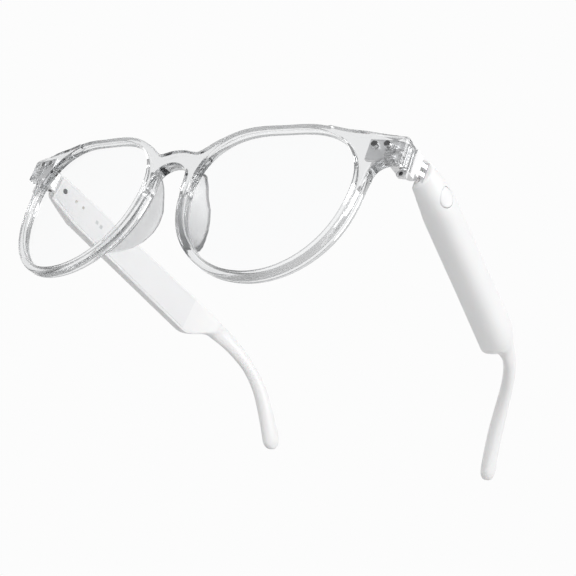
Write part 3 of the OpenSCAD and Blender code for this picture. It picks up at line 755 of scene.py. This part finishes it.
def soften(node, width, segments=2, angle=35):
    """A copy of a CAD node with small rounded edges."""
    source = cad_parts[node]
    obj = bpy.data.objects.new(f"{node}_soft", source.data.copy())
    bpy.context.collection.objects.link(obj)
    obj.data.materials.clear()
    bm = bmesh.new()
    bm.from_mesh(obj.data)
    bmesh.ops.remove_doubles(bm, verts=bm.verts, dist=2e-6)
    bm.to_mesh(obj.data)
    bm.free()
    for attribute in [a for a in obj.data.attributes if a.name == "custom_normal"]:
        obj.data.attributes.remove(attribute)
    obj.data.shade_smooth()
    obj.data.set_sharp_from_angle(angle=math.radians(angle))
    bevel = obj.modifiers.new("soft_edges", "BEVEL")
    bevel.width = width * MM
    bevel.segments = segments
    bevel.limit_method = "ANGLE"
    bevel.angle_limit = math.radians(angle)
    bevel.harden_normals = True
    bevel.use_clamp_overlap = True
    return obj


# ---- Materials ----


class Nodes:
    """Short way to build a material's nodes."""

    def __init__(self, name):
        self.material = bpy.data.materials.new(name)
        self.material.use_nodes = True
        self.tree = self.material.node_tree
        self.shader = self.tree.nodes["Principled BSDF"]
        self.coords = self.tree.nodes.new("ShaderNodeTexCoord").outputs["Object"]

    def add(self, kind, inputs=None, **settings):
        """A new node, with values or links for its inputs."""
        node = self.tree.nodes.new(kind)
        for key, value in settings.items():
            setattr(node, key, value)
        for key, value in (inputs or {}).items():
            self.set(node, key, value)
        return node

    def set(self, node, key, value):
        if isinstance(value, bpy.types.NodeSocket):
            self.tree.links.new(value, node.inputs[key])
        else:
            node.inputs[key].default_value = value

    def noise(self, scale, detail=3.0, roughness=0.55):
        inputs = {"Vector": self.coords, "Scale": scale, "Detail": detail, "Roughness": roughness}
        return self.add("ShaderNodeTexNoise", inputs).outputs["Fac"]

    def range(self, value, low, high):
        """A noise value spread from low to high."""
        inputs = {"Value": value, "From Min": 0.3, "From Max": 0.7, "To Min": low, "To Max": high}
        return self.add("ShaderNodeMapRange", inputs).outputs["Result"]

    def mix(self, factor, a, b):
        node = self.add("ShaderNodeMix", data_type="RGBA")
        self.set(node, 0, factor)
        self.set(node, 6, (*a, 1))
        self.set(node, 7, (*b, 1))
        return node.outputs[2]

    def bump(self, height, strength, distance):
        inputs = {"Height": height, "Strength": strength, "Distance": distance}
        return self.add("ShaderNodeBump", inputs).outputs["Normal"]

    def principled(self, **inputs):
        """Sets the shader's own inputs, with _ for the spaces in their names."""
        for key, value in inputs.items():
            self.set(self.shader, key.replace("_", " "), value)


def clear_plastic(name, ior, rough, haze, absorb):
    """Polished clear plastic: slight waviness in its finish, and a little grey over long paths."""
    m = Nodes(name)
    patches = m.noise(160, 2)
    wave = m.noise(90, 1)
    m.principled(
        Base_Color=m.mix(patches, (0.985, 0.988, 0.99), haze),
        Roughness=m.range(patches, *rough),
        IOR=ior,
        Transmission_Weight=1.0,
        Normal=m.bump(wave, 0.06, 0.0002),
    )
    if absorb:
        tint = {"Color": (0.55, 0.56, 0.57, 1), "Density": absorb}
        volume = m.add("ShaderNodeVolumeAbsorption", tint)
        out = m.tree.nodes["Material Output"]
        m.tree.links.new(volume.outputs[0], out.inputs["Volume"])
    return m.material


def white_plastic(name, light, dark, rough):
    """Satin white moulding: fine grain, a faint mottle and a clear sheen."""
    m = Nodes(name)
    mottle = m.noise(70, 4)
    grain = m.noise(2600, 2)
    m.principled(
        Base_Color=m.mix(mottle, dark, light),
        Roughness=m.range(mottle, *rough),
        IOR=1.47,
        Coat_Weight=0.12,
        Coat_Roughness=0.25,
        Subsurface_Weight=0.04,
        Subsurface_Scale=0.002,
        Normal=m.bump(grain, 0.12, 0.00004),
    )
    return m.material


def brushed_metal(name, light, dark, rough, stretch):
    """Satin metal with fine streaks along one direction."""
    m = Nodes(name)
    mapping = m.add("ShaderNodeMapping", {"Vector": m.coords, "Scale": stretch})
    streaks = m.add(
        "ShaderNodeTexNoise", {"Vector": mapping.outputs[0], "Scale": 900.0, "Detail": 4.0}
    ).outputs["Fac"]
    m.principled(
        Base_Color=m.mix(streaks, dark, light),
        Metallic=1.0,
        Roughness=m.range(streaks, *rough),
        Normal=m.bump(streaks, 0.15, 0.00003),
    )
    return m.material


def dull(name, light, dark, rough, scale, metallic=0.0, grain=0.00003):
    """Plain moulded or coated surfaces, with mottle and grain."""
    m = Nodes(name)
    mottle = m.noise(scale, 4)
    fine = m.noise(scale * 9, 2)
    m.principled(
        Base_Color=m.mix(mottle, dark, light),
        Metallic=metallic,
        Roughness=m.range(mottle, rough - 0.08, rough + 0.08),
        Normal=m.bump(fine, 0.2, grain),
    )
    return m.material


def circuit_material():
    """Green solder mask with a faint pattern of traces."""
    m = Nodes("circuit_board_mask")
    cells = m.add(
        "ShaderNodeTexVoronoi",
        {"Vector": m.coords, "Scale": 700.0},
        feature="DISTANCE_TO_EDGE",
    ).outputs["Distance"]
    line = m.add(
        "ShaderNodeMapRange", {"Value": cells, "From Min": 0.04, "From Max": 0.1}
    ).outputs["Result"]
    m.principled(
        Base_Color=m.mix(line, (0.12, 0.42, 0.26), (0.03, 0.16, 0.09)),
        Roughness=m.range(m.noise(300), 0.28, 0.4),
        Normal=m.bump(line, 0.3, 0.00003),
    )
    return m.material


def grey(value, blue=0.0):
    """A neutral colour, or one with a little more blue."""
    return (value, value, value + blue)


MATERIALS = {
    "clear_frame": clear_plastic(
        "clear_front_plastic", ior=1.49, rough=(0.0, 0.03), haze=(0.97, 0.975, 0.98), absorb=75.0
    ),
    # The low index stands in for the lenses' anti-glare coating.
    "clear_lens": clear_plastic(
        "clear_lens_plastic", ior=1.2, rough=(0.0, 0.005), haze=(0.995, 0.997, 0.998), absorb=0
    ),
    "clear_pad": clear_plastic(
        "clear_pad_plastic", ior=1.43, rough=(0.3, 0.45), haze=(0.93, 0.935, 0.94), absorb=150.0
    ),
    "hinge_metal": brushed_metal(
        "satin_hinge_metal", grey(0.96), grey(0.84, 0.01), rough=(0.34, 0.48), stretch=(1, 0.2, 0.06)
    ),
    "screw_steel": brushed_metal(
        "turned_screw_steel",
        grey(0.1, 0.005),
        grey(0.03, 0.002),
        rough=(0.35, 0.5),
        stretch=(1, 0.1, 1),
    ),
    "temple_white": white_plastic(
        "temple_white_plastic", grey(0.84), grey(0.81, 0.005), rough=(0.3, 0.42)
    ),
    "cover_white": white_plastic(
        "cover_white_plastic", grey(0.8, 0.005), grey(0.76, 0.01), rough=(0.42, 0.52)
    ),
    "button_white": white_plastic(
        "button_white_plastic", grey(0.84, 0.005), grey(0.8, 0.01), rough=(0.32, 0.44)
    ),
    "core_wire": brushed_metal(
        "ear_core_steel", grey(0.6, 0.01), grey(0.45, 0.01), rough=(0.3, 0.45), stretch=(1, 0.1, 1)
    ),
    "switch_metal": brushed_metal(
        "switch_can_metal", grey(0.7, 0.01), grey(0.55, 0.01), rough=(0.3, 0.4), stretch=(1, 1, 0.1)
    ),
    "contact_gold": brushed_metal(
        "contact_pin_plate",
        (0.3, 0.29, 0.27),
        (0.2, 0.19, 0.17),
        rough=(0.3, 0.45),
        stretch=(1, 1, 1),
    ),
    "board": circuit_material(),
    "battery_foil": dull(
        "battery_foil_wrap",
        (0.72, 0.73, 0.75),
        (0.5, 0.51, 0.54),
        rough=0.35,
        scale=500,
        metallic=0.9,
        grain=0.00006,
    ),
    "speaker_black": dull("speaker_case", grey(0.05, 0.005), grey(0.02, 0.002), rough=0.5, scale=600),
    "mesh_black": dull(
        "outlet_mesh", grey(0.09, 0.005), grey(0.04, 0.005), rough=0.4, scale=900, metallic=0.8
    ),
    "magnet": dull(
        "magnet_nickel", grey(0.3, 0.01), grey(0.16, 0.01), rough=0.35, scale=700, metallic=1.0
    ),
    "window_smoke": dull(
        "sensor_window_smoke", (0.62, 0.63, 0.64), (0.52, 0.53, 0.54), rough=0.15, scale=400
    ),
}


def finish_piece(obj, body, slot, nodes):
    """Gives a piece its material and its body, and hides the CAD nodes it stands for."""
    obj.data.materials.clear()
    obj.data.materials.append(MATERIALS[slot])
    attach(obj, body)
    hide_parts(*nodes)
    return obj


SOFT_NODES = {
    # node: (body, slot, edge radius in mm)
    "front_leaf": ("front", "hinge_metal", 0.14),
    "front_screws": ("front", "screw_steel", 0.24),
    "hinge_pin": ("front", "screw_steel", 0.08),
    "temple_leaf": ("temple", "hinge_metal", 0.12),
    "leaf_screw": ("temple", "screw_steel", 0.08),
    "inner_cover": ("temple", "cover_white", 0.06),
    "button_switch": ("temple", "switch_metal", 0.08),
    "battery": ("temple", "battery_foil", 0.15),
    "speaker": ("temple", "speaker_black", 0.15),
    "microphone": ("temple", "switch_metal", 0.08),
    "charging_contacts": ("temple", "contact_gold", 0.06),
}
PLAIN_NODES = {
    "circuit_board": "board",
    "speaker_mesh": "mesh_black",
    "charging_magnet": "magnet",
    "sensor_windows": "window_smoke",
    "ear_core": "core_wire",
}
BODY_NAMES = {"front": "front", "temple": "temple_{}"}


def build_all():
    """Every piece of the glasses."""
    build_front()
    for side in ("left", "right"):
        build_lens(side)
        build_pad(side)
        build_shell(side)
        build_button(side)
        build_anchor(side)
        for name, (body, slot, edge) in SOFT_NODES.items():
            node = f"{name}_{side}"
            obj = soften(node, edge)
            finish_piece(obj, BODY_NAMES[body].format(side), slot, [node])
        for name, slot in PLAIN_NODES.items():
            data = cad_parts[f"{name}_{side}"].data
            data.materials.clear()
            data.materials.append(MATERIALS[slot])


# ---- Studio ----


CAMERA_AT = Vector((205.47, -182.71, -126.57))
CAMERA_HEADING = 40.76  # degrees, turned left from +Y
CAMERA_TILT = 22.03  # looking up
CAMERA_ROLL = 19.86
CAMERA_LENS = 68.75  # on a sensor 36 mm wide
CAMERA_SHIFT = (0.03667, 0.00491)
FLOOR_HALF = 8.0  # metres
PALE = 0.974  # the backdrop behind the object
AROUND = 0.8
OVERHEAD = 0.42
LIGHTS = (
    # name, place from the object's middle in metres, side of the square, power in watts
    ("key_light", (0.95, 0.15, 0.45), 0.5, 4.4),
    ("fill_light", (0.55, -0.9, 0.25), 0.7, 3.2),
    ("top_light", (0, 0.1, 1.2), 0.8, 2.2),
)


def camera_turn():
    """The camera's rotation. Its own -Z looks forward and its own Y is up in the picture."""
    return (
        Matrix.Rotation(math.radians(CAMERA_HEADING), 4, "Z")
        @ Matrix.Rotation(math.radians(90 + CAMERA_TILT), 4, "X")
        @ Matrix.Rotation(math.radians(CAMERA_ROLL), 4, "Z")
    )


def one_sided(name, shader_for):
    """A material that is only there from the front, so nothing hides the object from behind it."""
    m = Nodes(name)
    shader_for(m)
    clear = m.add("ShaderNodeBsdfTransparent")
    behind = m.add("ShaderNodeNewGeometry").outputs["Backfacing"]
    mix = m.add("ShaderNodeMixShader", {0: behind, 1: m.shader.outputs[0], 2: clear.outputs[0]})
    m.tree.links.new(mix.outputs[0], m.tree.nodes["Material Output"].inputs["Surface"])
    return m.material


def floor_finish(m):
    """Matt and pale, with a faint mottle."""
    mottle = m.noise(3, 2)
    m.principled(Base_Color=m.mix(mottle, (0.69, 0.69, 0.69), (0.71, 0.71, 0.71)), Roughness=0.8)


def build_floor():
    """A large pale floor just under the glasses."""
    mesh = bpy.data.meshes.new("studio_floor")
    half = FLOOR_HALF
    corners = [(-half, -half, 0), (half, -half, 0), (half, half, 0), (-half, half, 0)]
    mesh.from_pydata(corners, [], [(0, 1, 2, 3)])
    floor = bpy.data.objects.new("studio_floor", mesh)
    bpy.context.collection.objects.link(floor)
    floor.location.z = -0.0002
    mesh.materials.append(one_sided("pale_floor", floor_finish))


def build_world():
    """Pale behind the object, greyer all round and darkest overhead: clear plastic shows it all."""
    world = bpy.data.worlds.new("studio")
    bpy.context.scene.world = world
    world.use_nodes = True
    tree = world.node_tree
    coords = tree.nodes.new("ShaderNodeTexCoord").outputs["Generated"]

    def fade(direction, low, high, value_low, value_high):
        """From one value to another between two cosines of a ray's angle to the direction."""
        along = tree.nodes.new("ShaderNodeVectorMath")
        along.operation = "DOT_PRODUCT"
        along.inputs[1].default_value = direction
        tree.links.new(coords, along.inputs[0])
        ramp = tree.nodes.new("ShaderNodeMapRange")
        ramp.interpolation_type = "SMOOTHSTEP"
        tree.links.new(along.outputs["Value"], ramp.inputs["Value"])
        limits = {"From Min": low, "From Max": high, "To Min": value_low, "To Max": value_high}
        for key, value in limits.items():
            if isinstance(value, float):
                ramp.inputs[key].default_value = value
            else:
                tree.links.new(value, ramp.inputs[key])
        return ramp.outputs["Result"]

    around = fade((0, 0, 1), 0.35, 0.8, AROUND, OVERHEAD)
    behind_object = -camera_turn().col[2].to_3d()
    whole = fade(tuple(behind_object), 0.76, 0.92, around, PALE)
    background = tree.nodes["Background"]
    background.inputs["Color"].default_value = (1, 1, 1, 1)
    tree.links.new(whole, background.inputs["Strength"])


def area_light(name, location, target, size, power):
    """A soft square light that faces the target."""
    data = bpy.data.lights.new(name, "AREA")
    data.size = size
    data.energy = power
    obj = bpy.data.objects.new(name, data)
    bpy.context.collection.objects.link(obj)
    obj.location = location
    obj.rotation_euler = (target - location).to_track_quat("-Z", "Y").to_euler()


def make_camera():
    """The photograph's viewpoint, from below and in front."""
    data = bpy.data.cameras.new("camera")
    data.sensor_width = 36
    data.lens = CAMERA_LENS
    data.shift_x, data.shift_y = CAMERA_SHIFT
    data.clip_start = 0.01
    obj = bpy.data.objects.new("camera", data)
    bpy.context.collection.objects.link(obj)
    obj.matrix_world = Matrix.Translation(PLACE @ CAMERA_AT) @ camera_turn()
    bpy.context.scene.camera = obj


def build_studio():
    """Camera, floor, backdrop and lights."""
    scene = bpy.context.scene
    scene.view_settings.view_transform = "Standard"
    # Light makes many turns inside clear plastic before it leaves.
    bounces = 40
    scene.cycles.max_bounces = bounces
    scene.cycles.transmission_bounces = bounces
    scene.cycles.glossy_bounces = bounces
    make_camera()
    build_floor()
    build_world()
    middle = Vector((0, 0, 0.02))
    for name, where, size, power in LIGHTS:
        area_light(name, middle + Vector(where), middle, size, power)


build_all()
build_studio()
